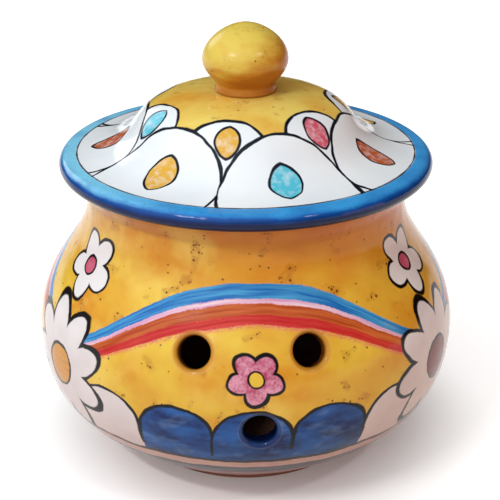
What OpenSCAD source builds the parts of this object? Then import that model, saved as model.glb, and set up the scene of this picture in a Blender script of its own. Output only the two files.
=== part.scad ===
// Vented keeper jar of thrown and glazed earthenware: a round-bellied body with
// three vent holes, a domed lid with a rolled rim, and a knob luted onto the lid.
// Millimetres. The origin is the centre of the foot ring, where the jar stands;
// +Z is up and the vents face -Y. The lid is drawn closed.

/* [Jar body] */
// Widest diameter, at the belly
belly_d = 150; // [140:1:170]
// Height of the widest point above the table
belly_z = 45.5; // [40:0.5:52]
// Outer diameter of the foot ring
foot_d = 84; // [70:1:94]
// Height of the foot ring below the body
foot_h = 1.5; // [1:0.1:3]
// Width of the foot ring, seen from below
foot_w = 7; // [4:0.5:12]
// How far the body overhangs the foot ring
foot_step = 0.7; // [0.3:0.1:2]
// Rounding of the foot ring's outer edge
foot_round = 0.6; // [0.2:0.1:0.9]
// Depth of the turned recess inside the foot ring
recess_depth = 2.5; // [1.5:0.1:3.5]
// Slope of the lower body where it leaves the foot, in degrees from level
lower_slope = 38; // [32:1:46]
// Fullness of the lower body just above the foot
lower_fullness = 0.62; // [0.5:0.02:0.74]
// Fullness of the lower body just below the belly
belly_fullness = 0.54; // [0.4:0.02:0.6]
// Fullness of the shoulder just above the belly
shoulder_fullness = 0.53; // [0.35:0.01:0.6]
// Length of the sweep from the shoulder into the neck
neck_sweep = 0.4; // [0.3:0.01:0.5]
// Narrowest diameter of the neck
neck_d = 112.4; // [106:0.1:115]
// Height of the narrowest point of the neck
neck_z = 96.4; // [91:0.5:99]
// Length of the sweep from the neck out into the lip
lip_sweep = 0.33; // [0.2:0.01:0.5]
// How far the mouth lip flares out from the neck
lip_flare = 1.8; // [0.8:0.1:4]
// Height of the mouth lip, where the lid rests
lip_z = 104.6; // [103:0.1:112]
// Rounding of the lip's two edges
lip_round = 1.4; // [0.5:0.1:2]
// Thickness of the thrown wall
wall = 5.2; // [3.5:0.1:6.5]
// Thickness of the floor
floor_t = 5.5; // [4:0.1:8]
// Height over which the inside turns from the floor into the wall
floor_round = 6; // [3:0.5:10]

/* [Vent holes] */
// Bore of each vent
vent_d = 10.8; // [7:0.1:13]
// Rounding of the glazed edge outside each vent
vent_round = 2; // [0.4:0.1:2.4]
// Height of the upper pair at the outer skin
upper_vent_z = 65.5; // [60:0.1:72]
// Angle from the front to each vent of the upper pair
upper_vent_turn = 15.4; // [12:0.1:30]
// Height of the lower vent at the outer skin
lower_vent_z = 39.7; // [34:0.1:44]
// Angle from the front to the lower vent
lower_vent_turn = 1.9; // [-8:0.1:8]

/* [Lid] */
// How far the rolled rim overhangs the mouth lip
rim_overhang = 7.5; // [5:0.1:12]
// Thickness of the rolled rim
rim_t = 6; // [5:0.1:9]
// Width of the rolled rim, outside the edge of the dome
rim_w = 6.6; // [6:0.1:9]
// Height of the dome's edge above the top of the rolled rim
dome_step = 0.2; // [0:0.1:1.5]
// Rise of the dome from its edge to the seat of the knob
dome_rise = 20.5; // [15:0.1:26]
// Fullness of the dome around the knob
dome_fullness = 0.75; // [0.5:0.01:0.85]
// Length of the sweep from the dome into the rim
skirt_sweep = 0.6; // [0.4:0.01:0.7]
// Lift of that sweep above the rim, as a part of the rise
skirt_lift = 0.13; // [0.05:0.01:0.3]
// Thickness of the lid
lid_wall = 5; // [3.5:0.1:6]
// Depth of the locating collar below the rim
collar_h = 7; // [5:0.1:12]
// Thickness of the locating collar
collar_t = 4; // [3:0.1:6]
// Rounding of the collar's lower edges
collar_round = 0.6; // [0.3:0.1:1.4]
// Play between the collar and the mouth, all round
collar_play = 1.3; // [0.6:0.1:2.5]

/* [Knob] */
// Widest diameter of the knob
knob_d = 30; // [24:0.1:36]
// Height of the knob above the lid
knob_h = 23.6; // [20:0.1:30]
// Height of the widest point above the lid
knob_wide_z = 11.2; // [9.5:0.1:13]
// Fullness of the ball above its widest point
knob_fullness = 0.55; // [0.4:0.01:0.65]
// Roundness of the knob's crown
knob_crown = 0.42; // [0.3:0.01:0.6]
// Fullness of the ball below its widest point
ball_fullness = 0.5; // [0.35:0.01:0.6]
// Diameter of the waist under the ball
knob_waist_d = 20; // [16:0.1:20.6]
// Height of the waist above the lid
knob_waist_z = 2.6; // [2:0.1:4]
// Length of the sweep from the waist out into the ball
waist_sweep = 0.15; // [0.05:0.01:0.35]
// Diameter of the knob's foot, where it is luted to the lid
knob_foot_d = 21.2; // [20.8:0.1:24]
// Rounding of the foot's edge
knob_foot_round = 0.8; // [0.3:0.1:1.5]
// Width of the flat seat around the knob's foot
seat_margin = 1.2; // [0.5:0.1:3]

/* [Hidden] */

$fn = 96;
STEPS = 14;         // straight pieces in each drawn curve
ARC_STEPS = 6;      // straight pieces in the round of a lip, a rim or a vent
EDGE_STEPS = 3;     // straight pieces in the round of a small edge
CORNER_PULL = 0.6;  // how far a rounded corner is pulled into its point
VENT_SINK = 0.8;    // share of the skin's fall at a vent's edge by which its rounding is sunk
cut = 3;            // how far a cutting shape runs past what it cuts

glaze_yellow = [0.93, 0.76, 0.27];
glaze_white = [0.93, 0.95, 0.96];
glaze_amber = [0.88, 0.66, 0.22];

belly_r = belly_d / 2;
foot_r = foot_d / 2;
neck_r = neck_d / 2;
lip_r = neck_r + lip_flare;
mouth_r = neck_r - wall;
floor_z = recess_depth + floor_t;
rim_r = lip_r + rim_overhang;
roll_r = rim_t / 2;
dome_r = rim_r - rim_w;
dome_z = lip_z + rim_t + dome_step;
knob_foot_r = knob_foot_d / 2;
seat_r = knob_foot_r + seat_margin;
seat_z = dome_z + dome_rise;
collar_r = mouth_r - collar_play;
collar_z = lip_z - collar_h;

// A cubic curve through its two ends, pulled towards two handles
function curve_point(c, t) =
    pow(1 - t, 3) * c[0] + 3 * t * pow(1 - t, 2) * c[1] + 3 * t * t * (1 - t) * c[2] + pow(t, 3) * c[3];
function curve_heading(c, t) =
    let (d = pow(1 - t, 2) * (c[1] - c[0]) + 2 * t * (1 - t) * (c[2] - c[1]) + t * t * (c[3] - c[2]))
    d / norm(d);
// A point of the curve moved to its left by a distance
function curve_side(c, t, by) =
    let (h = curve_heading(c, t)) curve_point(c, t) + by * [-h[1], h[0]];
// Points of the curve, or of a line beside it, from one parameter to another
function curve_points(c, from = 0, to = 1, by = 0) =
    [for (i = [0 : STEPS]) curve_side(c, from + (to - from) * i / STEPS, by)];
// Parameter at which a curve that climbs, or a line beside it, passes a height
function curve_at_height(c, z, by = 0, lo = 0, hi = 1, turns = 24) =
    let (mid = (lo + hi) / 2)
    turns == 0 ? mid :
    curve_side(c, mid, by)[1] < z ? curve_at_height(c, z, by, mid, hi, turns - 1)
                                  : curve_at_height(c, z, by, lo, mid, turns - 1);
// Parameter at which a curve that runs outwards, or a line beside it, passes a radius
function curve_at_radius(c, r, by = 0, lo = 0, hi = 1, turns = 24) =
    let (mid = (lo + hi) / 2)
    turns == 0 ? mid :
    curve_side(c, mid, by)[0] < r ? curve_at_radius(c, r, by, mid, hi, turns - 1)
                                  : curve_at_radius(c, r, by, lo, mid, turns - 1);
// A curve that leaves one point and reaches the next upright, each handle a share of the rise
function upright_curve(a, b, share_a, share_b) =
    let (rise = b[1] - a[1])
    [a, [a[0], a[1] + share_a * rise], [b[0], b[1] - share_b * rise], b];
// A curve that rounds a corner between two points
function corner_curve(a, corner, b) =
    [a, a + CORNER_PULL * (corner - a), b + CORNER_PULL * (corner - b), b];
// Points of an arc round a centre
function arc_points(centre, r, from, to, steps = ARC_STEPS) =
    [for (i = [0 : steps]) let (a = from + (to - from) * i / steps) centre + r * [cos(a), sin(a)]];

// Outside of the body: foot to belly, belly to neck, neck to lip
lower_start = [foot_r + foot_step, foot_h];
lower_reach = lower_fullness * (belly_r - lower_start[0]);
lower_curve = [
    lower_start,
    lower_start + lower_reach * [1, tan(lower_slope)],
    [belly_r, belly_z * (1 - belly_fullness)],
    [belly_r, belly_z]];
shoulder_curve = upright_curve([belly_r, belly_z], [neck_r, neck_z], shoulder_fullness, neck_sweep);
neck_curve = upright_curve([neck_r, neck_z], [lip_r, lip_z - lip_round], lip_sweep, lip_sweep);

// Inside of the body where the wall turns into the floor
inner_from = curve_at_height(lower_curve, floor_z + floor_round, wall);
inner_start = curve_side(lower_curve, inner_from, wall);
inner_heading = curve_heading(lower_curve, inner_from);
floor_corner = [inner_start[0] - floor_round * inner_heading[0] / inner_heading[1], floor_z];
floor_curve = corner_curve(inner_start, floor_corner, floor_corner - [floor_round, 0]);

// Outside of the lid: from the edge of the knob's seat to the edge of the dome
dome_run = dome_r - seat_r;
dome_curve = [
    [seat_r, seat_z],
    [seat_r + dome_fullness * dome_run, seat_z],
    [dome_r - skirt_sweep * dome_run, dome_z + skirt_lift * dome_rise],
    [dome_r, dome_z]];

// Where a vent stands on the body's skin: radius, height and the slope of its bore
function vent_curve(z) = z < belly_z ? lower_curve : shoulder_curve;
function vent_stand(z) =
    let (c = vent_curve(z), t = curve_at_height(c, z), p = curve_point(c, t), h = curve_heading(c, t))
    [p[0], p[1], atan2(-h[0], h[1])];

// A bore square to the wall, with a trumpet mouth that rounds the glazed edge. The skin curves
// away from the bore's square plane, so the trumpet is sunk to meet it.
module vent_cutter(z, turn) {
    stand = vent_stand(z);
    mouth = vent_d / 2 + vent_round;
    sink = VENT_SINK * mouth * mouth / (2 * stand[0]);
    rotate([0, 0, turn - 90])
        translate([stand[0], 0, stand[1]])
            rotate([0, 90 - stand[2], 0]) {
                translate([0, 0, -wall - cut])
                    cylinder(d = vent_d, h = wall + 2 * cut);
                translate([0, 0, -sink])
                    rotate_extrude()
                        polygon(concat(
                            [[0, -vent_round]],
                            arc_points([mouth, -vent_round], vent_round, 180, 90),
                            [[mouth, cut], [0, cut]]));
            }
}

module jar_body() {
    outside = concat(
        arc_points([foot_r - foot_round, foot_round], foot_round, -90, 0, EDGE_STEPS),
        [[foot_r, foot_h]],
        curve_points(lower_curve),
        curve_points(shoulder_curve),
        curve_points(neck_curve),
        arc_points([lip_r - lip_round, lip_z - lip_round], lip_round, 0, 90));
    inside = concat(
        arc_points([mouth_r + lip_round, lip_z - lip_round], lip_round, 90, 180),
        curve_points(shoulder_curve, 1, 0, wall),
        curve_points(lower_curve, 1, inner_from, wall),
        curve_points(floor_curve),
        [[0, floor_z]]);
    under = [
        [0, recess_depth],
        [foot_r - foot_w - recess_depth, recess_depth],
        [foot_r - foot_w, 0]];
    color(glaze_yellow)
        difference() {
            rotate_extrude()
                polygon(concat(outside, inside, under));
            for (side = [-1, 1])
                vent_cutter(upper_vent_z, side * upper_vent_turn);
            vent_cutter(lower_vent_z, lower_vent_turn);
        }
}

module lid_cover() {
    inner_r = collar_r - collar_t;
    inner_to = curve_at_radius(dome_curve, inner_r, -lid_wall);
    top = concat(
        [[0, seat_z]],
        curve_points(dome_curve),
        arc_points([rim_r - roll_r, lip_z + roll_r], roll_r, 90, -90, 2 * ARC_STEPS));
    collar = concat(
        [[collar_r, lip_z]],
        arc_points([collar_r - collar_round, collar_z + collar_round], collar_round, 0, -90, EDGE_STEPS),
        arc_points([inner_r + collar_round, collar_z + collar_round], collar_round, -90, -180, EDGE_STEPS));
    inside = concat(
        curve_points(dome_curve, inner_to, 0, -lid_wall),
        [[0, seat_z - lid_wall]]);
    color(glaze_white)
        rotate_extrude()
            polygon(concat(top, collar, inside));
}

module lid_knob() {
    waist = [knob_waist_d / 2, knob_waist_z];
    widest = [knob_d / 2, knob_wide_z];
    foot_curve = upright_curve([knob_foot_r, knob_foot_round], waist, 0.5, 0.5);
    ball_curve = upright_curve(waist, widest, waist_sweep, ball_fullness);
    cap_curve = [
        widest,
        widest + [0, knob_fullness * (knob_h - knob_wide_z)],
        [knob_crown * knob_d / 2, knob_h],
        [0, knob_h]];
    outline = concat(
        [[0, 0]],
        arc_points([knob_foot_r - knob_foot_round, knob_foot_round], knob_foot_round, -90, 0, EDGE_STEPS),
        curve_points(foot_curve),
        curve_points(ball_curve),
        curve_points(cap_curve));
    color(glaze_amber)
        translate([0, 0, seat_z])
            rotate_extrude()
                polygon(outline);
}

jar_body();
lid_cover();
lid_knob();
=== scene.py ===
import math

import bmesh
import bpy
import numpy as np
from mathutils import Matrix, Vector
from mathutils.geometry import interpolate_bezier


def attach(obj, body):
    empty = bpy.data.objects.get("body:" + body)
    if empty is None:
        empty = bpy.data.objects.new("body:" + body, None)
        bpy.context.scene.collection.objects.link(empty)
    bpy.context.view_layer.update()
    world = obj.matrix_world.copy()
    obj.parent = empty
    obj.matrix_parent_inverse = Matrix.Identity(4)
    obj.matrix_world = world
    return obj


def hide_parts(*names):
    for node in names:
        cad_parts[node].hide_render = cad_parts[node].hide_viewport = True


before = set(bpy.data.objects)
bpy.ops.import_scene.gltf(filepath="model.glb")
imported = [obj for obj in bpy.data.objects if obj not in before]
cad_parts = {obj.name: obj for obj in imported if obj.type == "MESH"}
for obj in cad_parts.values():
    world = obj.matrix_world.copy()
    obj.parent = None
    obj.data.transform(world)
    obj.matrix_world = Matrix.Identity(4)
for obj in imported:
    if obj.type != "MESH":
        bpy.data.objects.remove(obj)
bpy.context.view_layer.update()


# Jar body. A round-bellied pot thrown in red earthenware, with a turned foot ring, a lip that
# flares to carry the lid, and three air holes cut square through the wall while it was leather
# hard. Sizes are in millimetres here and shrink to metres when the piece is finished.
MM = 0.001
BELLY_R, BELLY_Z = 75.0, 45.5
FOOT_R, FOOT_H, FOOT_W, FOOT_STEP, FOOT_ROUND = 42.0, 1.5, 7.0, 0.7, 0.6
RECESS = 2.5
LOWER_SLOPE = math.radians(38)
NECK_R, NECK_Z = 56.2, 96.4
LIP_R, LIP_Z, LIP_ROUND = 58.0, 104.6, 1.4
WALL = 5.2
FLOOR_Z, FLOOR_ROUND = 8.0, 6.0
JAR_STEPS = 216
JAR_SWING = 0.45


def at(radius, height):
    """A point of an outline, in the plane that is turned about the axis."""
    return Vector((radius, 0, height))


def upright(low, high, share_low, share_high, count):
    """A curve that leaves one point and reaches the next upright."""
    rise = Vector((0, 0, high.z - low.z))
    return interpolate_bezier(low, low + share_low * rise, high - share_high * rise, high, count)


def arc(centre, radius, start, end, count):
    """Points of an arc in the outline's plane, from one angle to another in degrees."""
    angles = np.radians(np.linspace(start, end, count))
    return [centre + radius * Vector((math.cos(a), 0, math.sin(a))) for a in angles]


def beside(line, distance):
    """The line moved to its left."""
    moved = []
    for index, point in enumerate(line):
        before, after = line[max(index - 1, 0)], line[min(index + 1, len(line) - 1)]
        heading = (after - before).normalized()
        moved.append(point + distance * Vector((-heading.z, 0, heading.x)))
    return moved


def along(line):
    """Distance along a line at each of its points."""
    return list(np.cumsum([0] + [(b - a).length for a, b in zip(line, line[1:])]))


def lathe(outline, steps):
    """Turns an outline of (point, way along the skin, share inside) into a closed shell."""
    shell = bmesh.new()
    skin = shell.verts.layers.float.new("skin")
    inner = shell.verts.layers.float.new("inner")
    verts = []
    for point, way, share in outline:
        vert = shell.verts.new(point)
        vert[skin], vert[inner] = way, share
        verts.append(vert)
    edges = [shell.edges.new(pair) for pair in zip(verts, verts[1:])]
    bmesh.ops.spin(shell, geom=verts + edges, cent=(0, 0, 0), axis=(0, 0, 1),
                   angle=math.tau, steps=steps, use_merge=True, use_duplicate=False)
    bmesh.ops.remove_doubles(shell, verts=shell.verts, dist=1e-4)
    return shell


def finish_shell(shell, name, material, node, body, swing, heights, fade):
    """Makes the shell a piece in metres, a little out of round where heights and fade let it be."""
    bmesh.ops.recalc_face_normals(shell, faces=shell.faces)
    mesh = bpy.data.meshes.new(name)
    shell.to_mesh(mesh)
    shell.free()
    place = np.empty(3 * len(mesh.vertices))
    mesh.vertices.foreach_get("co", place)
    place = place.reshape(-1, 3)
    # three slow waves round the piece, which wander a little as they rise
    turn, height = np.arctan2(place[:, 0], -place[:, 1]), place[:, 2]
    push = 0.5 * np.cos(2 * turn + 0.04 * height + 0.9) + 0.3 * np.cos(3 * turn - 0.06 * height)
    push += 0.2 * np.cos(5 * turn + 0.09 * height + 2)
    radius = np.maximum(np.hypot(place[:, 0], place[:, 1]), 1)
    place[:, :2] *= (1 + swing * push * np.interp(height, heights, fade) / radius)[:, None]
    mesh.vertices.foreach_set("co", place.ravel() * MM)
    mesh.shade_smooth()
    mesh.set_sharp_from_angle(angle=math.radians(38))
    mesh.materials.append(material)
    piece = bpy.data.objects.new(name, mesh)
    bpy.context.scene.collection.objects.link(piece)
    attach(piece, body)
    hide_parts(node)


# the outline's three curves, from the step above the foot to the belly, the neck and the lip
step_r = FOOT_R + FOOT_STEP
reach = 0.62 * (BELLY_R - step_r)
lower = interpolate_bezier(
    at(step_r, FOOT_H),
    at(step_r + reach, FOOT_H + reach * math.tan(LOWER_SLOPE)),
    at(BELLY_R, BELLY_Z * 0.46),
    at(BELLY_R, BELLY_Z), 40)
shoulder = upright(at(BELLY_R, BELLY_Z), at(NECK_R, NECK_Z), 0.53, 0.40, 36)
neck = upright(at(NECK_R, NECK_Z), at(LIP_R, LIP_Z - LIP_ROUND), 0.33, 0.33, 8)
outside = lower + shoulder[1:] + neck[1:]
belly_way = along(lower)[-1]
outside_way = [way - belly_way for way in along(outside)]
inside = [p for p in beside(lower + shoulder[1:], WALL) if p.z > FLOOR_Z + FLOOR_ROUND]
corner = inside[0] + (inside[0] - inside[1]) * (inside[0].z - FLOOR_Z) / (inside[1].z - inside[0].z)
turn_in = interpolate_bezier(
    at(corner.x - FLOOR_ROUND, FLOOR_Z),
    at(corner.x - 0.4 * FLOOR_ROUND, FLOOR_Z),
    corner.lerp(inside[0], 0.4),
    inside[0], 8)
floor_line = [at(corner.x * share, FLOOR_Z) for share in (0, 0.25, 0.5, 0.75)]
inside_all = floor_line + turn_in[:-1] + inside

# the recess under the floor, the ring's inner edge with its softened corner, and its face
ring_in = FOOT_R - FOOT_W
foot = [at(0, RECESS), at(ring_in - RECESS - 12, RECESS), at(ring_in - RECESS, RECESS),
        at(ring_in - 0.3, 0.25), at(ring_in + 0.4, 0), at(FOOT_R - 3, 0)]
foot += arc(at(FOOT_R - FOOT_ROUND, FOOT_ROUND), FOOT_ROUND, -90, 0, 4)
lip = arc(at(LIP_R - LIP_ROUND, LIP_Z - LIP_ROUND), LIP_ROUND, 0, 90, 7)[1:]
lip += arc(at(NECK_R - WALL + LIP_ROUND, LIP_Z - LIP_ROUND), LIP_ROUND, 90, 180, 7)

# foot and lip carry a way that lies just past the painted skin's own
jar_outline = [(p, outside_way[0] - 2, 1) for p in foot]
jar_outline += [(p, way, 0) for p, way in zip(outside, outside_way)]
jar_outline += [(p, outside_way[-1] + 2, 1) for p in lip]
jar_outline += [(p, outside_way[-1], 1) for p in reversed(inside_all)]
jar = lathe(jar_outline, JAR_STEPS)

# the air holes: angle from the front in degrees, height at the skin. The turned mesh is cleared
# of faces in a circle round each, wider on the outer skin, where the mouth is rounded over, and
# NEAR is how far past that circle faces and edges are looked at.
VENT_R, VENT_ROUND = 5.4, 1.6
VENTS = ((-15.4, 65.5), (15.4, 65.5), (1.9, 39.7))
OUTER_CLEARED, INNER_CLEARED, NEAR = 10.0, 8.6, 4.0
outer_skin = [p.z for p in outside], [p.x for p in outside]
inner_skin = [p.z for p in inside], [p.x for p in inside]


def vent_axes(turn, height):
    """Where a vent stands on the outer skin, its outward axis, and two directions across it."""
    front = Vector((math.sin(math.radians(turn)), -math.cos(math.radians(turn)), 0))
    side = Vector((-front.y, front.x, 0))
    slope = np.interp(height + 0.5, *outer_skin) - np.interp(height - 0.5, *outer_skin)
    normal = (front - Vector((0, 0, slope))).normalized()
    stand = front * float(np.interp(height, *outer_skin)) + Vector((0, 0, height))
    return stand, normal, side, normal.cross(side)


def slide_to_skin(point, direction, skin):
    """The point slid along a direction until it lies on a turned skin."""
    for _ in range(8):
        radius = math.hypot(point.x, point.y)
        radial = Vector((point.x, point.y, 0)) / radius
        point = point + direction * (np.interp(point.z, *skin) - radius) / direction.dot(radial)
    return point


def open_vent(shell, skin, stand, inwards, side, up, rings, cleared):
    """Cuts one skin open round a vent and draws its edge in, ring by ring of (radius, depth)."""
    doomed = []
    for face in shell.faces:
        if (face.verts[0].co - stand).length < cleared + NEAR:
            offset = face.calc_center_median() - stand
            depth = offset.dot(inwards)
            if abs(depth) < 0.45 * WALL and (offset - depth * inwards).length < cleared:
                doomed.append(face)
    bmesh.ops.delete(shell, geom=doomed, context="FACES")

    def bearing(vert):
        offset = vert.co - stand
        return math.atan2(offset.dot(up), offset.dot(side))

    # All open edges in reach. On the inner skin these include the ring that the mouth ended with,
    # so each back ring is laid twice, once from either edge, and the two layers nearly coincide.
    edges = [e for e in shell.edges
             if e.is_boundary and (e.verts[0].co - stand).length < cleared + NEAR]
    count = len(edges)
    start = None
    way_layer = shell.verts.layers.float["skin"]
    inner_layer = shell.verts.layers.float["inner"]
    for radius, depth in rings:
        drawn = bmesh.ops.extrude_edge_only(shell, edges=edges)["geom"]
        verts = sorted((v for v in drawn if isinstance(v, bmesh.types.BMVert)), key=bearing)
        edges = [e for e in drawn if isinstance(e, bmesh.types.BMEdge)]
        if start is None:
            # the even spacing of every ring starts from the first ring's mean bearing
            start = np.mean([bearing(v) - math.tau * k / count for k, v in enumerate(verts)])
        for k, vert in enumerate(verts):
            angle = start + math.tau * k / count
            spread = math.cos(angle) * side + math.sin(angle) * up
            mouth = slide_to_skin(stand + max(radius, VENT_R + VENT_ROUND) * spread, inwards, skin)
            mouth -= (mouth - stand).dot(spread) * spread
            vert.co = mouth + radius * spread + depth * inwards
            vert[way_layer] = np.interp(vert.co.z, outer_skin[0], outside_way)
            vert[inner_layer] = skin is inner_skin and depth < 0.4
    return edges


mouth_rings = [(8.3, 0), (7.6, 0)]
for angle in np.radians(np.linspace(0, 90, 8)):
    mouth_rings.append((VENT_R + VENT_ROUND * (1 - math.sin(angle)),
                        VENT_ROUND * (1 - math.cos(angle))))
mouth_rings.append((VENT_R, 2.6))
back_rings = [(7.4, 0), (6.4, 0), (5.9, 0), (5.65, 0.08), (5.47, 0.25), (VENT_R, 0.5), (VENT_R, 1.0)]
for vent in VENTS:
    stand, normal, side, up = vent_axes(*vent)
    mouth_edges = open_vent(jar, outer_skin, stand, -normal, side, up,
                            mouth_rings, OUTER_CLEARED)
    rear = stand - WALL * normal
    back_edges = open_vent(jar, inner_skin, rear, normal, side, up, back_rings, INNER_CLEARED)
    bmesh.ops.bridge_loops(jar, edges=mouth_edges + back_edges)


# Jar glaze. The biscuit-fired pot is painted by hand with metal oxides over a white ground,
# every outline drawn with a loaded brush, and then dipped in a clear shiny glaze. The foot and
# the inside stay bare clay. Patterns are in millimetres, from the belly's widest line upwards.
EDGE = 0.16
CLAY = (0.40, 0.19, 0.13, 1.0)
CLAY_DARK = (0.29, 0.125, 0.085, 1.0)


def srgb(red, green, blue):
    """A paint colour given as it looks, from 0 to 255, in the linear light of a material."""
    linear = [c / 12.92 if c <= 0.04045 else ((c + 0.055) / 1.055) ** 2.4
              for c in (red / 255, green / 255, blue / 255)]
    return (*linear, 1.0)


class Field:
    """A number spread over a piece. Arithmetic on fields adds Math nodes to its material."""

    def __init__(self, tree, socket):
        self.tree = tree
        self.socket = socket

    def math(self, operation, *others, clamp=False):
        node = self.tree.nodes.new("ShaderNodeMath")
        node.operation = operation
        node.use_clamp = clamp
        for port, value in zip(node.inputs, (self, *others)):
            plug(self.tree, value, port)
        return Field(self.tree, node.outputs[0])

    def __add__(self, other):
        return self.math("ADD", other)

    def __sub__(self, other):
        return self.math("SUBTRACT", other)

    def __mul__(self, other):
        return self.math("MULTIPLY", other)

    def __truediv__(self, other):
        return self.math("DIVIDE", other)

    def __rsub__(self, other):
        return self * -1 + other

    __radd__ = __add__
    __rmul__ = __mul__

    def most(self, other):
        return self.math("MAXIMUM", other)

    def least(self, other):
        return self.math("MINIMUM", other)

    def share(self):
        """The field cut off below 0 and above 1."""
        return self.math("ADD", 0.0, clamp=True)

    def fold(self, half, centre=0.0):
        """Wraps an angle into one sector that is two halves wide, round a centre."""
        return (self - centre).math("WRAP", half, -half)


def plug(tree, value, port):
    """Feeds a socket from a field or sets it to a plain value."""
    if isinstance(value, Field):
        tree.links.new(value.socket, port)
    else:
        port.default_value = value


def distance(a, b):
    """Length of the vector with two parts."""
    return (a * a + b * b).math("SQRT")


def within(gap, soft=1.0):
    """1 where a signed gap to a painted edge is below zero, 0 outside, soft by a brush hair."""
    return (gap * (-0.5 / (EDGE * soft)) + 0.5).share()


def stroke(gap, width):
    """1 on a painted line along a signed gap's zero."""
    return within(gap.math("ABSOLUTE") - width * 0.5)


def petals(across, up, count, middle, long, wide, turn=0.0):
    """Signed gap to the nearest petal of a round flower."""
    half = math.pi / count
    bearing = (up.math("ARCTAN2", across) + turn).fold(half)
    spread = distance(across, up)
    length = (spread * bearing.math("COSINE") - middle) / long
    breadth = spread * bearing.math("SINE") / wide
    return (distance(length, breadth) - 1) * wide


def almond(across, up, wide, long):
    """Signed gap to a leaf with a point at each end."""
    radius = (wide * wide + long * long) / (2 * wide)
    return distance(across.math("ABSOLUTE") + (radius - wide), up) - radius


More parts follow.
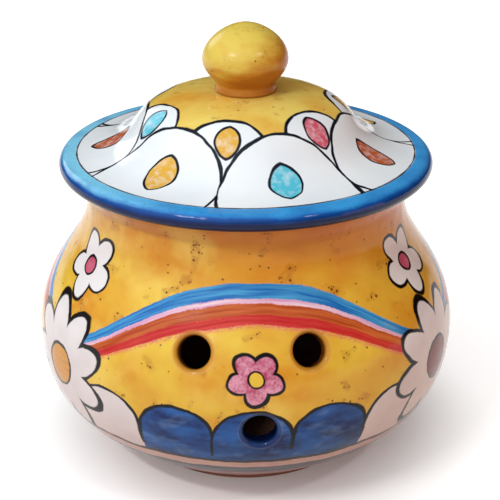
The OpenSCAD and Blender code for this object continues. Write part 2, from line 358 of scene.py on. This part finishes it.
class Glaze:
    """The painted layers of one glazed piece, laid from the ground up, under a clear glaze."""

    def __init__(self, name, inks, seed, sway, thick=1.25, shaky=0.30):
        self.material = bpy.data.materials.new(name)
        self.material.use_nodes = True
        self.tree = self.material.node_tree
        self.tree.nodes.clear()
        self.place = self.node("ShaderNodeTexCoord").outputs["Object"]
        self.x, self.y, self.z = (part * (1 / MM) for part in self.parts(self.place))
        self.turn = self.x.math("ARCTAN2", self.y * -1)
        self.reach = distance(self.x, self.y)
        self.way = self.attribute("skin")
        self.inner = self.attribute("inner")
        self.colour = None
        # how the hand wanders, how hard the brush is pressed and how full it is
        self.sway = [broad * sway + close * shaky for broad, close in
                     zip(self.noise(19, detail=2, shift=seed), self.noise(4.2, detail=2, shift=seed))]
        press = self.noise(10, detail=3, shift=seed + 3)
        self.pen = (press[0] * 0.75 + thick).most(0.4)
        self.slip = press[1] * 0.5 - 0.15
        fullness = press[2] * 0.9 + self.noise(0.9, shift=seed + 8)[0] * 0.4 - 0.35
        self.ink = self.mix(*inks, fullness.share())

    def node(self, kind, **settings):
        made = self.tree.nodes.new(kind)
        for name, value in settings.items():
            setattr(made, name, value)
        return made

    def parts(self, vector):
        split = self.node("ShaderNodeSeparateXYZ")
        self.tree.links.new(vector, split.inputs[0])
        return [Field(self.tree, port) for port in split.outputs]

    def attribute(self, name):
        return Field(self.tree, self.node("ShaderNodeAttribute", attribute_name=name).outputs["Fac"])

    def spot(self, size, stretch=(1, 1, 1), shift=0.0):
        """Where a texture is read: the place on the piece in units of a size in millimetres."""
        mapping = self.node("ShaderNodeMapping")
        self.tree.links.new(self.place, mapping.inputs["Vector"])
        mapping.inputs["Location"].default_value = (shift, shift * 0.7, shift * 1.3)
        mapping.inputs["Scale"].default_value = [s / (size * MM) for s in stretch]
        return mapping.outputs["Vector"]

    def noise(self, size, stretch=(1, 1, 1), detail=2.0, shift=0.0, where=None):
        """Three cloudy fields from about -1 to 1."""
        cloud = self.node("ShaderNodeTexNoise")
        self.tree.links.new(where or self.spot(size, stretch, shift), cloud.inputs["Vector"])
        cloud.inputs["Scale"].default_value = 1
        cloud.inputs["Detail"].default_value = detail
        return [(part - 0.5) * 3 for part in self.parts(cloud.outputs["Color"])]

    def mix(self, under, over, share):
        blend = self.node("ShaderNodeMix", data_type="RGBA")
        plug(self.tree, share, blend.inputs[0])
        plug(self.tree, under, blend.inputs[6])
        plug(self.tree, over, blend.inputs[7])
        return Field(self.tree, blend.outputs[2])

    def lay(self, colour, where):
        """Paints a colour over what is there."""
        self.colour = self.mix(self.colour, colour, where)

    def draw(self, gap, width=1.0, where=1.0):
        """Draws an ink line along a signed gap's zero."""
        self.lay(self.ink, stroke(gap, self.pen * width) * where)

    def wash(self, light, dark, share, size, stretch=(1, 1, 1), shift=0.0, force=0.6):
        """A colour laid with a wide brush, thin in places and pooled in others."""
        cloud = self.noise(size, stretch, 3.5, shift)[0]
        return self.mix(light, dark, (cloud * force + share).share())

    def choose(self, index, colours):
        """One of several colours by a whole number from zero."""
        ramp = self.node("ShaderNodeValToRGB")
        ramp.color_ramp.interpolation = "CONSTANT"
        while len(ramp.color_ramp.elements) < len(colours):
            ramp.color_ramp.elements.new(1)
        for step, (element, colour) in enumerate(zip(ramp.color_ramp.elements, colours)):
            element.position = step / len(colours)
            element.color = colour
        plug(self.tree, (index + 0.5) / len(colours), ramp.inputs[0])
        return Field(self.tree, ramp.outputs[0])

    def specks(self, size, radius, shift):
        """1 in small round specks scattered one to a cell, most cells empty."""
        cells = self.node("ShaderNodeTexVoronoi")
        self.tree.links.new(self.spot(size, shift=shift), cells.inputs["Vector"])
        cells.inputs["Scale"].default_value = 1
        chance = self.parts(cells.outputs["Color"])[0]
        grain = chance.math("POWER", 3) * radius
        return within(Field(self.tree, cells.outputs["Distance"]) * size - grain, 0.5)

    def kiln_specks(self, single=0.46, dirt=1.0):
        """Iron specks of the yellow ground, in small dirty patches and one by one."""
        patches = ((self.noise(7, shift=12, detail=1)[0] - 0.36) * 4).share() * dirt
        self.lay(srgb(98, 50, 20), self.specks(0.9, 0.6, 6) * patches)
        stain = (self.noise(2, detail=3, shift=13)[0] * 0.4 + 0.3).share()
        self.lay(srgb(168, 96, 26), patches * stain)
        self.lay(srgb(92, 46, 18), self.specks(2.9, single, 3) * 0.9)

    def fire(self, bare, gloss, waves=0.10):
        """Adds the clear glaze, except where the clay is bare, and closes the material."""
        fine = self.noise(1.4, detail=3, shift=5)[0]
        ripple = self.noise(9, detail=1, shift=9)[0]
        grit = self.noise(0.5, detail=4, shift=2)[0]
        grooves = (self.z * 1.9 + self.turn).math("SINE") * self.inner
        self.lay(self.mix(CLAY, CLAY_DARK, (grit * 0.6 + grooves * 0.2 + 0.4).share()), bare)
        rough = ripple * 0.03 + fine * 0.015 + gloss + bare * (0.82 - gloss)
        height = ripple * waves + fine * 0.008 + bare * (grit * 0.05 + grooves * 0.10)
        bump = self.node("ShaderNodeBump")
        bump.inputs["Strength"].default_value = 1.0
        bump.inputs["Distance"].default_value = MM
        plug(self.tree, height, bump.inputs["Height"])
        shader = self.node("ShaderNodeBsdfPrincipled")
        shader.inputs["IOR"].default_value = 1.5
        shader.inputs["Specular IOR Level"].default_value = 0.22
        plug(self.tree, self.colour, shader.inputs["Base Color"])
        plug(self.tree, rough, shader.inputs["Roughness"])
        self.tree.links.new(bump.outputs["Normal"], shader.inputs["Normal"])
        output = self.node("ShaderNodeOutputMaterial")
        self.tree.links.new(shader.outputs[0], output.inputs["Surface"])
        return self.material


YELLOW, AMBER = srgb(232, 197, 70), srgb(217, 148, 40)
WHITE, WHITE_SHADE = srgb(234, 233, 235), srgb(214, 208, 211)
PINK, ROSE = srgb(224, 160, 184), srgb(176, 60, 98)

glaze = Glaze("jar_painted_glaze", (srgb(10, 5, 6), srgb(44, 26, 22)), seed=1, sway=1.15)
# height up the skin and turn round it as the hand draws them, a little off the true ones
height = glaze.way + glaze.sway[1]
turn = glaze.turn + glaze.sway[0] / 72
grain = glaze.noise(0.9, detail=2, shift=8)[0]

# yellow ground, browner in soft patches, with painted shade under the rim and at the right of the
# front, and painted light at the left
glaze.colour = glaze.wash(YELLOW, AMBER, 0.46, 22, (1, 1, 1.5), 3, 1.0)
# partly amber glaze and partly painted shade under the rim; painted shade at the right of the front
top = (glaze.way - 32) * 0.05 + glaze.noise(26, (1, 1, 1.8), 3, 7)[0] * 0.55
top = top + (glaze.turn - 0.5).math("COSINE") * 0.35 - 0.2
glaze.lay(glaze.wash(srgb(228, 164, 54), srgb(208, 124, 32), 0.5, 18, shift=27), (top * 0.75).share())
# painted light: paler yellow in cloudy patches, strongest at the left of the front
glaze.lay(srgb(242, 212, 104), ((glaze.noise(16, detail=3, shift=44)[0] - 0.30) * 1.6
          + ((glaze.turn + 0.85).math("COSINE") - 0.55) * 1.8).share() * 0.6)
glaze.kiln_specks()

# striped ribbon that waves round the jar, high in front of the air holes and wider there. The
# field runs from 1 on its upper edge to -1 on its lower one, measured square to the ribbon.
WAVES = 3
RIBBON_UP, RIBBON_RISE = 22.2, 13.8
RIBBON_HALF, RIBBON_SWELL = 5.9, 1.5
slant = (glaze.turn * WAVES).math("SINE")
wave = (glaze.turn * WAVES).math("COSINE") + slant * slant * 0.3
ribbon = glaze.way + glaze.sway[2] * 0.6 - RIBBON_UP - wave * RIBBON_RISE
ribbon = ribbon / (slant * slant * 0.35 + 1).math("SQRT") / (wave * RIBBON_SWELL + RIBBON_HALF)
streaks_at = glaze.node("ShaderNodeCombineXYZ")
for port, part in zip(streaks_at.inputs, (glaze.x / 20, glaze.y / 20, ribbon * 7)):
    plug(glaze.tree, part, port)
streaks = glaze.noise(1, detail=5, where=streaks_at.outputs[0])
STRIPE_SOFT = 0.17
STRIPES = (
    (1.00, 0.30, srgb(26, 102, 182), srgb(82, 176, 224)),
    (0.34, 0.08, srgb(216, 150, 190), srgb(244, 222, 232)),
    (0.12, -0.46, srgb(174, 66, 26), srgb(212, 116, 58)),
    (-0.38, -0.82, srgb(190, 30, 36), srgb(212, 70, 56)),
)
for index, (upper, lower_edge, deep, pale) in enumerate(STRIPES):
    ragged = streaks[1] * 0.06 + grain * 0.035
    band = within(ribbon + ragged - upper, STRIPE_SOFT)
    band = band * within(lower_edge - ribbon + ragged, STRIPE_SOFT)
    glaze.lay(glaze.mix(deep, pale, (streaks[index % 3] * 0.9 + 0.38).share()), band)
fringe = within(ribbon + 0.78, STRIPE_SOFT) * within(-0.98 - ribbon + grain * 0.14, STRIPE_SOFT)
glaze.lay(srgb(222, 104, 112), fringe * ((grain + 0.5) * 0.9).share())

# hem of scallops above the foot, three blue and three white in turn
HEM, HEM_UP, HEM_WIDE, HEM_HIGH = 18, -9, 13.0, 10.5
HEM_FOOT = -16
hem_across = turn.fold(math.pi / HEM) * glaze.reach
hem_up = (height - HEM_UP).most(0)
hem = (distance(hem_across / HEM_WIDE, hem_up / HEM_HIGH) - 1) * 11.5
blue = within((turn.fold(math.pi / 3).math("ABSOLUTE") - math.radians(30)) * BELLY_R)
white_clay = glaze.wash(WHITE, WHITE_SHADE, 0.5, 22, shift=15)
cobalt = glaze.wash(srgb(38, 98, 176), srgb(10, 36, 100), 0.5, 13, (1, 1, 2.4), 21, 1.2)
brushed_thin = (glaze.noise(10, (1, 1, 2.2), 3, 23)[0] - 0.15).share() * 0.8
cobalt = glaze.mix(cobalt, srgb(112, 150, 200), brushed_thin)
pooled = (glaze.noise(9, (1, 1, 2.0), 4, 24)[0] - 0.15).share() * 0.9
cobalt = glaze.mix(cobalt, srgb(8, 22, 66), pooled)
glaze.lay(glaze.mix(white_clay, cobalt, blue), within(hem + glaze.slip))
glaze.draw(hem, 1.0, within(HEM_FOOT - height + glaze.sway[2] * 3))

# small flowers over the ribbon's low places, and large ones in front of them
TROUGH = math.pi / 3
SMALL_UP, BIG_UP = 37.5, 0.5
far = turn.fold(TROUGH, TROUGH) * glaze.reach
which = ((glaze.turn - TROUGH - glaze.turn.fold(TROUGH, TROUGH)) / (2 * TROUGH)).math("ROUND") + 1
small_up = height - SMALL_UP
small = petals(far, small_up, 5, 6.6, 6.0, 4.5, math.pi / 2)
small_spread = distance(far, small_up)
glaze.lay(WHITE, within(small.least(small_spread - 4) + glaze.slip))
glaze.draw(small, 0.85, within(3.4 - small_spread))
glaze.lay(glaze.wash(srgb(214, 112, 136), ROSE, 0.4, 4, shift=71), within(small_spread - 3.0))
glaze.draw(small_spread - 3.2, 0.7)

big_up = height - BIG_UP
big = petals(far, big_up, 9, 14.6, 10.2, 5.7, math.pi / 2 + 0.12)
big_spread = distance(far, big_up)
glaze.lay(glaze.wash(WHITE, WHITE_SHADE, 0.3, 18, shift=31),
          within(big.least(big_spread - 13) + glaze.slip))
glaze.draw(big, 1.05, within(10 - big_spread + glaze.sway[2] * 1.5))
heart = glaze.choose(which, (srgb(222, 158, 54), srgb(132, 40, 14), srgb(206, 96, 124)))
glaze.lay(glaze.mix(heart, srgb(112, 44, 18), (streaks[1] * 0.4 + 0.1).share()),
          within(big_spread - 7.6))
glaze.draw(big_spread - 7.8, 0.9)

# pink rosette between the air holes
ROSE_TURN, ROSE_UP = math.radians(0.6), 12.6
rose_across = (turn - ROSE_TURN) * glaze.reach
rose_up = height - ROSE_UP
rose = petals(rose_across, rose_up, 5, 4.9, 4.3, 3.7, math.pi / 2)
rose_spread = distance(rose_across, rose_up)
chalky = glaze.noise(6, detail=3, shift=51)[0] * 1.3 + grain * 0.55 + 0.5
chalk = glaze.mix(PINK, ROSE, chalky.share())
glaze.lay(chalk, within(rose.least(rose_spread - 3.2) + glaze.slip * 0.6))
glaze.draw(rose, 1.0, within(2.8 - rose_spread))
glaze.lay(YELLOW, within(rose_spread - 2.4))
glaze.draw(rose_spread - 2.6, 0.7)

# bands round the foot, each laid over all that is lower than its way up the skin: brown line,
# pinkish white, grey blue darkened near black by painted shade where the belly faces down,
# thin pink, bare clay
PALE_BAND, BLUE_BAND, PINK_BAND, BARE_FOOT = -19.9, -24.8, -33.4, -52
glaze.lay(glaze.wash(srgb(222, 198, 188), srgb(200, 168, 158), 0.5, 20, shift=61),
          within(height - PALE_BAND))
# painted band and painted shade: near-black blue low on the downward-facing belly
glaze.lay(glaze.wash(srgb(8, 10, 44), srgb(38, 36, 72), 0.3, 14, (1, 1, 5), 63),
          within(height - BLUE_BAND, 2))
glaze.lay(glaze.wash(srgb(186, 132, 128), srgb(150, 98, 98), 0.5, 20, shift=66),
          within(height - PINK_BAND, 2))
glaze.lay(srgb(44, 18, 12), stroke(height - (PALE_BAND + 0.1), glaze.pen * 1.2))

# paint that runs into each air hole, gold on the upper two and blue on the lower one, with a faint
# pale ring on the mouth's edge that is partly thin glaze and partly a painted highlight, and painted
# shade that darkens it deeper in the bore. Only the front wall is painted, not what lies behind it
# on the bore's line.
front_wall = within(glaze.y + 30)
GOLD, GOLD_SHADED = srgb(202, 136, 42), srgb(104, 54, 16)
EDGE_COLOURS = (GOLD, GOLD, srgb(20, 48, 104))
BORE_SHADE_COLOURS = (GOLD_SHADED, GOLD_SHADED, srgb(6, 14, 42))
for vent, edge, bore_shade in zip(VENTS, EDGE_COLOURS, BORE_SHADE_COLOURS):
    stand, normal, side, up = vent_axes(*vent)
    offset = [part - c for part, c in zip((glaze.x, glaze.y, glaze.z), stand)]
    straight = sum(part * c for part, c in zip(offset, normal))
    bore_reach = (sum(part * part for part in offset) - straight * straight).most(0).math("SQRT")
    thin = (bore_reach - VENT_R - VENT_ROUND - 0.1).math("ABSOLUTE")
    glaze.lay(edge, within(bore_reach - VENT_R - VENT_ROUND, 3) * front_wall * 0.7)
    # partly thin glaze and partly a painted highlight: a faint pale ring on the mouth's rounded edge
    glaze.lay(srgb(250, 240, 214), within(thin - 0.1, 2) * front_wall * 0.09)
    # painted shade: darker deeper into the bore
    glaze.lay(bore_shade, ((-0.5 - straight) / 2.2).share()
              * within(bore_reach - VENT_R - 1.2) * front_wall)

foot_bare = within(glaze.way - BARE_FOOT + glaze.sway[0] * 0.8)
bare = within((0.5 - glaze.inner + grain * 0.06) * 3).most(foot_bare)
finish_shell(jar, "painted_jar", glaze.fire(bare, gloss=0.13), "jar_body", "jar",
             JAR_SWING, heights=(4, 20, 80, 98), fade=(0, 1, 1, 0))


# Lid. Thrown like the jar, with a domed top, a flange whose edge is rolled over, and a collar
# underneath that keeps it centred in the mouth. It rests on the lip by its own weight.
RIM_R, ROLL_R = 65.5, 3.0
DOME_R, DOME_Z, DOME_RISE = 58.9, 110.8, 20.5
SEAT_R = 11.8
SEAT_Z = DOME_Z + DOME_RISE
LID_WALL = 5.0
COLLAR_R, COLLAR_T, COLLAR_Z, COLLAR_ROUND = 49.7, 4.0, 97.6, 0.6
LID_STEPS = 180
LID_SWING = 0.5

run = DOME_R - SEAT_R
dome = interpolate_bezier(
    at(SEAT_R, SEAT_Z),
    at(SEAT_R + 0.75 * run, SEAT_Z),
    at(DOME_R - 0.60 * run, DOME_Z + 0.13 * DOME_RISE),
    at(DOME_R, DOME_Z), 56)
dome_way = [SEAT_R + way for way in along(dome)]
roll = arc(at(RIM_R - ROLL_R, LIP_Z + ROLL_R), ROLL_R, 90, -90, 22)
collar = arc(at(COLLAR_R - COLLAR_ROUND, COLLAR_Z + COLLAR_ROUND), COLLAR_ROUND, 0, -90, 4)
collar += arc(at(COLLAR_R - COLLAR_T + COLLAR_ROUND, COLLAR_Z + COLLAR_ROUND),
              COLLAR_ROUND, -90, -180, 4)
hollow = [p for p in beside(dome, -LID_WALL) if p.x < COLLAR_R - COLLAR_T]

lid_outline = [(at(SEAT_R * share, SEAT_Z), SEAT_R * share, 0) for share in (0, 0.5)]
lid_outline += [(p, way, 0) for p, way in zip(dome, dome_way)]
lid_outline += [(p, dome_way[-1] + (p - dome[-1]).length, 0) for p in roll]
UNPAINTED = 90
lid_outline += [(p, UNPAINTED, 1) for p in [at(60, LIP_Z), at(COLLAR_R, LIP_Z)] + collar]
lid_outline += [(p, UNPAINTED, 1) for p in reversed(hollow)]
lid_outline += [(at(share * SEAT_R, SEAT_Z - LID_WALL), UNPAINTED, 1) for share in (0.5, 0)]
lid = lathe(lid_outline, LID_STEPS)

# Lid glaze. A yellow crown, two rows of white scales with a painted leaf in each, all outlined
# in blue black, and a rim brushed azure above and cobalt below, with painted shade darkening
# its underside and a painted reflection paling it at the left.
COOL_WHITE, COOL_SHADE = srgb(240, 246, 249), srgb(218, 226, 234)
lid_glaze = Glaze("lid_painted_glaze", (srgb(14, 20, 34), srgb(50, 62, 84)),
                  seed=2, sway=1.3, thick=1.15, shaky=0.18)
lid_glaze.colour = lid_glaze.wash(srgb(236, 208, 104), srgb(220, 160, 54), 0.22, 20, (1, 1, 2), 4, 1.0)
lid_glaze.kiln_specks(0.36, 0.6)

SCALES, FIRST = 7, math.radians(14)
scale_half = math.pi / SCALES
spread = lid_glaze.way + lid_glaze.sway[1]
swing = lid_glaze.turn + lid_glaze.sway[0] / 45


def row(first, middle, wide, long, leaf_at, leaf_wide, leaf_long, colours):
    """Paints one row of scales with a leaf in each."""
    bearing = swing.fold(scale_half, first)
    middle_turn = lid_glaze.turn - first - lid_glaze.turn.fold(scale_half, first)
    index = (middle_turn / (2 * scale_half)).math("ROUND")
    index = index.math("WRAP", SCALES, 0)
    across = spread * bearing.math("SINE")
    up = middle - spread * bearing.math("COSINE")
    gap = (distance(across / wide, up.most(0) / long) - 1) * wide
    lid_glaze.lay(lid_glaze.wash(COOL_WHITE, COOL_SHADE, 0.2, 24, shift=11, force=0.4),
                  within(gap + lid_glaze.slip))
    lid_glaze.draw(gap, 1.1, within(up * -1 - 3 + lid_glaze.sway[2] * 3))
    leaf = almond(across, up + (leaf_at - middle), leaf_wide, leaf_long)
    tint = lid_glaze.mix(lid_glaze.choose(index, colours), srgb(244, 246, 248),
                         (lid_glaze.noise(2.2, detail=3, shift=17)[0] * 0.5 + 0.1).share())
    lid_glaze.lay(tint, within(leaf + lid_glaze.slip * 0.7))
    lid_glaze.draw(leaf, 0.8)


CYAN, GREEN, BLUSH = srgb(84, 192, 216), srgb(126, 186, 92), srgb(206, 86, 108)
TERRACOTTA, HONEY = srgb(190, 94, 54), srgb(224, 174, 66)
row(FIRST + scale_half, middle=45, wide=15.5, long=17, leaf_at=37, leaf_wide=4.3, leaf_long=6.2,
    colours=(BLUSH, HONEY, BLUSH, GREEN, BLUSH, CYAN, HONEY))
row(FIRST, middle=60, wide=26.5, long=25, leaf_at=53, leaf_wide=5.6, leaf_long=8.0,
    colours=(CYAN, TERRACOTTA, HONEY, BLUSH, GREEN, TERRACOTTA, HONEY))

# the rolled rim, from 0 on its top to 1 underneath, darker underneath with painted shade and paler at
# the left as a painted reflection
rim_low = (111.0 - lid_glaze.z) / 6.0 + lid_glaze.noise(14, (1, 1, 3), 3, 23)[0] * 0.12
# painted reflection: paler azure towards the left
azure = lid_glaze.mix(srgb(60, 160, 226), srgb(134, 214, 246), (lid_glaze.x * -0.03 - 0.6).share())
azure = lid_glaze.mix(azure, srgb(14, 84, 168), (rim_low * 4.4 - 0.2).share())
# painted shade over the cobalt: darkest underneath the roll
rim_blue_and_shade = lid_glaze.mix(azure, srgb(5, 22, 80), ((rim_low - 0.22) * 2.8).share())
sponge = (lid_glaze.noise(0.7, detail=3, shift=33)[0] * 0.7 - 0.1).share()
lid_glaze.lay(lid_glaze.mix(rim_blue_and_shade, srgb(10, 46, 120), sponge),
              within(DOME_R + 0.5 - lid_glaze.reach))
lid_glaze.draw(lid_glaze.reach - DOME_R - 0.2, 0.5)
under = within((lid_glaze.z - LIP_Z - 0.35 + lid_glaze.sway[2] * 0.1) * 3)
bare = within((0.5 - lid_glaze.inner) * 3).most(under)
finish_shell(lid, "painted_lid", lid_glaze.fire(bare, gloss=0.06, waves=0.04),
             "lid_cover", "lid",
             LID_SWING, heights=(106, 111, 118, 126), fade=(0, 1, 1, 0))


# Knob. A ball thrown off the hump, waisted below, luted to the lid's seat with slip and fired
# with it. Its yellow glaze runs down to amber towards the foot, darker on the right as painted
# shade, with a dark line of painted shade in the crease at the foot.
KNOB_R, KNOB_H, KNOB_WIDE_Z = 15.0, 23.6, 11.2
WAIST_R, WAIST_Z = 10.35, 2.8
KNOB_FOOT_R, KNOB_FOOT_ROUND = 10.7, 0.35
KNOB_STEPS, KNOB_SWING = 96, 0.4
widest = at(KNOB_R, KNOB_WIDE_Z)
ball = arc(at(KNOB_FOOT_R - KNOB_FOOT_ROUND, KNOB_FOOT_ROUND), KNOB_FOOT_ROUND, -90, 0, 5)
ball += upright(at(KNOB_FOOT_R, KNOB_FOOT_ROUND), at(WAIST_R, WAIST_Z), 0.5, 0.5, 7)[1:]
ball += upright(at(WAIST_R, WAIST_Z), widest, 0.15, 0.5, 24)[1:]
ball += interpolate_bezier(widest, widest + at(0, 0.55 * (KNOB_H - KNOB_WIDE_Z)),
                           at(0.42 * KNOB_R, KNOB_H), at(0, KNOB_H), 36)[1:]
lift = at(0, SEAT_Z)
knob = lathe([(lift, 0, 0)] + [(lift + p, way, 0) for p, way in zip(ball, along(ball))], KNOB_STEPS)

knob_glaze = Glaze("knob_yellow_glaze", (AMBER, AMBER), seed=4, sway=1.0)
# how far the glaze has sunk: 0 at the top, 1 at the foot, and a little more on the right as painted
# shade
cloud = knob_glaze.noise(11, (1, 1, 2.6), 4, 4)[0]
sunk_and_right_shade = 1 - (knob_glaze.z - SEAT_Z) / KNOB_H + cloud * 0.36 + knob_glaze.x * 0.016
knob_glaze.colour = knob_glaze.mix(srgb(224, 198, 88), srgb(206, 152, 50), (sunk_and_right_shade * 1.9 - 0.35).share())
knob_glaze.lay(srgb(188, 120, 38), (sunk_and_right_shade * 2.4 - 0.95).share())
knob_glaze.lay(srgb(146, 88, 28), (sunk_and_right_shade * 2.4 - 1.7).share() * 0.5)
# painted shade: a dark line in the crease where the knob meets the lid
knob_glaze.lay(srgb(112, 64, 24), within(knob_glaze.z - SEAT_Z - 0.5 + cloud * 0.4, 2) * 0.6)
knob_glaze.kiln_specks(0.34, 0.25)
finish_shell(knob, "glazed_knob", knob_glaze.fire(knob_glaze.inner, gloss=0.24),
             "lid_knob", "lid",
             KNOB_SWING, heights=(132, 138, 152, 155), fade=(0, 1, 1, 0))


# Table, light and camera. A pale table top that runs out of sight, under a light tent that is
# cool above and dim and warm below. Two small windows in front glint on rim and knob, a third
# lights the back, and a warm fill comes from the right. The camera stands where the photo's did.
TABLE = 4.0
table_mesh = bmesh.new()
bmesh.ops.create_grid(table_mesh, x_segments=1, y_segments=1, size=TABLE)
mesh = bpy.data.meshes.new("table_top")
table_mesh.to_mesh(mesh)
table_mesh.free()
table = bpy.data.objects.new("table_top", mesh)
bpy.context.scene.collection.objects.link(table)


def sharp_rays(tree):
    """1 for what the eye sees, straight or in a mirror or glass, 0 for scattered light."""
    rays = tree.nodes.new("ShaderNodeLightPath")
    sharp = rays.outputs["Is Camera Ray"]
    for kind in ("Is Glossy Ray", "Is Transmission Ray"):
        either = tree.nodes.new("ShaderNodeMath")
        either.operation = "MAXIMUM"
        tree.links.new(sharp, either.inputs[0])
        tree.links.new(rays.outputs[kind], either.inputs[1])
        sharp = either.outputs[0]
    return sharp


pale = bpy.data.materials.new("pale_table")
pale.use_nodes = True
nodes, links = pale.node_tree.nodes, pale.node_tree.links
nodes.clear()
seen = nodes.new("ShaderNodeBsdfDiffuse")
seen.inputs["Color"].default_value = (0.84, 0.83, 0.82, 1)
glow = nodes.new("ShaderNodeEmission")
table_place = nodes.new("ShaderNodeTexCoord")
from_jar = nodes.new("ShaderNodeVectorMath")
from_jar.operation = "LENGTH"
links.new(table_place.outputs["Object"], from_jar.inputs[0])
# painted shadow: the floor's glow fades near the jar's foot, a painted contact shadow
clear = nodes.new("ShaderNodeMapRange")
clear.interpolation_type = "SMOOTHSTEP"
clear.inputs["From Min"].default_value = 0.045
clear.inputs["From Max"].default_value = 0.10
clear.inputs["To Min"].default_value = 0.10
clear.inputs["To Max"].default_value = 0.56
links.new(from_jar.outputs["Value"], clear.inputs["Value"])
links.new(clear.outputs[0], glow.inputs["Strength"])
both = nodes.new("ShaderNodeAddShader")
links.new(seen.outputs[0], both.inputs[0])
links.new(glow.outputs[0], both.inputs[1])
bounced = nodes.new("ShaderNodeBsdfDiffuse")
bounced.inputs["Color"].default_value = (0.56, 0.28, 0.17, 1)
table_look = nodes.new("ShaderNodeMixShader")
links.new(sharp_rays(pale.node_tree), table_look.inputs[0])
links.new(bounced.outputs[0], table_look.inputs[1])
links.new(both.outputs[0], table_look.inputs[2])
links.new(table_look.outputs[0], nodes.new("ShaderNodeOutputMaterial").inputs["Surface"])
mesh.materials.append(pale)

world = bpy.data.worlds.new("light_tent")
bpy.context.scene.world = world
world.use_nodes = True
nodes, links = world.node_tree.nodes, world.node_tree.links
nodes.clear()
WINDOW_WAY = Vector((-0.54, -0.54, 0.65)).normalized()
direction = nodes.new("ShaderNodeTexCoord")
towards_window = nodes.new("ShaderNodeVectorMath")
towards_window.operation = "DOT_PRODUCT"
towards_window.inputs[1].default_value = WINDOW_WAY
links.new(direction.outputs["Generated"], towards_window.inputs[0])
spread_out = nodes.new("ShaderNodeMapRange")
spread_out.inputs["From Min"].default_value = -1.0
links.new(towards_window.outputs["Value"], spread_out.inputs["Value"])
cloth = nodes.new("ShaderNodeValToRGB")
cloth.color_ramp.interpolation = "EASE"
cloth.color_ramp.elements[0].position = 0.15
cloth.color_ramp.elements[0].color = (0.05, 0.027, 0.017, 1)
cloth.color_ramp.elements[1].position = 0.98
cloth.color_ramp.elements[1].color = (0.94, 0.98, 1.0, 1)
cloth.color_ramp.elements.new(0.55).color = (0.052, 0.032, 0.022, 1)
cloth.color_ramp.elements.new(0.80).color = (0.33, 0.335, 0.34, 1)
links.new(spread_out.outputs[0], cloth.inputs[0])
tent = nodes.new("ShaderNodeBackground")
tent.inputs["Strength"].default_value = 1.5
links.new(cloth.outputs[0], tent.inputs["Color"])
links.new(tent.outputs[0], nodes.new("ShaderNodeOutputWorld").inputs["Surface"])


JAR_MIDDLE = Vector((0, 0, 0.07))


def lamp(name, place, wide, high, power, colour):
    """A soft lamp turned towards the jar."""
    light = bpy.data.lights.new(name, "AREA")
    light.shape = "RECTANGLE"
    light.size = wide
    light.size_y = high
    light.energy = power
    light.color = colour
    holder = bpy.data.objects.new(name, light)
    holder.location = place
    holder.rotation_euler = (JAR_MIDDLE - Vector(place)).to_track_quat("-Z", "Y").to_euler()
    bpy.context.scene.collection.objects.link(holder)


lamp("left_window", (-0.58, -0.68, 0.95), 0.34, 0.06, 4.2, (1.0, 1.0, 1.0))
lamp("right_window", (0.60, -0.64, 1.0), 0.17, 0.06, 1.8, (1.0, 1.0, 1.0))
lamp("warm_fill", (0.9, -0.35, 0.12), 0.5, 0.5, 1.4, (1.0, 0.38, 0.15))
lamp("back_window", (-0.75, 0.95, 0.6), 0.5, 0.5, 2.0, (0.94, 0.97, 1.0))

DISTANCE, ELEVATION, SWING = 0.450, math.radians(23.87), math.radians(-1.75)
AIM = Vector((0.00146, 0, 0.07067))
back = Vector((math.sin(SWING) * math.cos(ELEVATION), -math.cos(SWING) * math.cos(ELEVATION),
               math.sin(ELEVATION)))
camera = bpy.data.cameras.new("photo_camera")
camera.lens = 88.6
camera.sensor_width = 36
camera.clip_start = 0.01
holder = bpy.data.objects.new("photo_camera", camera)
holder.location = AIM + DISTANCE * back
holder.rotation_euler = (-back).to_track_quat("-Z", "Y").to_euler()
bpy.context.scene.collection.objects.link(holder)
bpy.context.scene.camera = holder
bpy.context.scene.view_settings.view_transform = "Standard"
